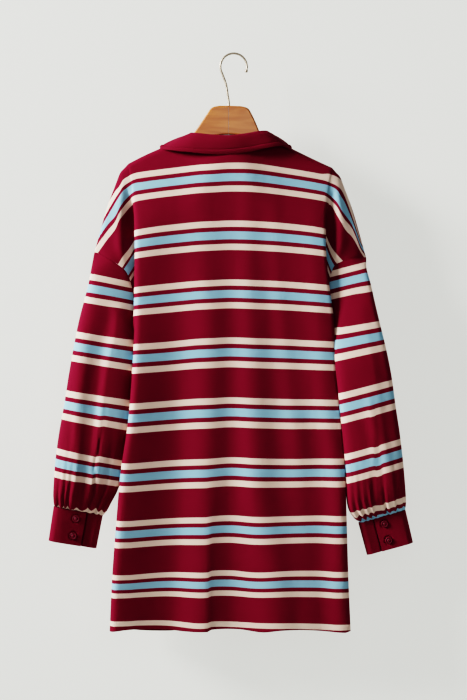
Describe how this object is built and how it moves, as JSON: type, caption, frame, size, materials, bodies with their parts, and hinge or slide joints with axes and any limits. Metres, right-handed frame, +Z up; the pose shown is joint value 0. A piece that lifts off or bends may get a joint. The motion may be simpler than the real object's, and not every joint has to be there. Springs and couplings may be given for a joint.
{
  "type": "polo dress on a clothes hanger",
  "caption": "Long-sleeved striped knit polo dress with a turned-down collar and dropped shoulders, hung on a wooden hanger with a wire hook.",
  "frame": {"origin": "inside of the crown of the hanger's hook, where the rod or nail carries it", "axes": "+Z up, +X towards the wearer's left sleeve, +Y towards the back of the dress"},
  "size_m": [0.6725, 0.1001, 1.071],
  "materials": {
    "striped_jersey": "soft, smooth knit with cream and light blue stripes",
    "burgundy_band": "double-layer knit band",
    "crimson_collar": "fine rib, double layer",
    "button": "satin, dyed to match",
    "wood": "clear satin lacquer",
    "wire": "satin nickel plate"
  },
  "bodies": {
    "root": {"back": "striped_jersey", "front": "striped_jersey", "sleeve_left": "striped_jersey", "sleeve_right": "striped_jersey", "cuff_left": "burgundy_band", "cuff_right": "burgundy_band", "collar_stand": "crimson_collar", "collar_leaf": "crimson_collar", "placket_under": "burgundy_band", "placket_upper": "burgundy_band", "cuff_button_left_1": "button", "cuff_button_left_2": "button", "cuff_button_right_1": "button", "cuff_button_right_2": "button", "front_button_1": "button", "front_button_2": "button", "front_button_3": "button", "hanger_arm_left": "wood", "hanger_arm_right": "wood", "hanger_hook": "wire"}
  },
  "joints": []
}
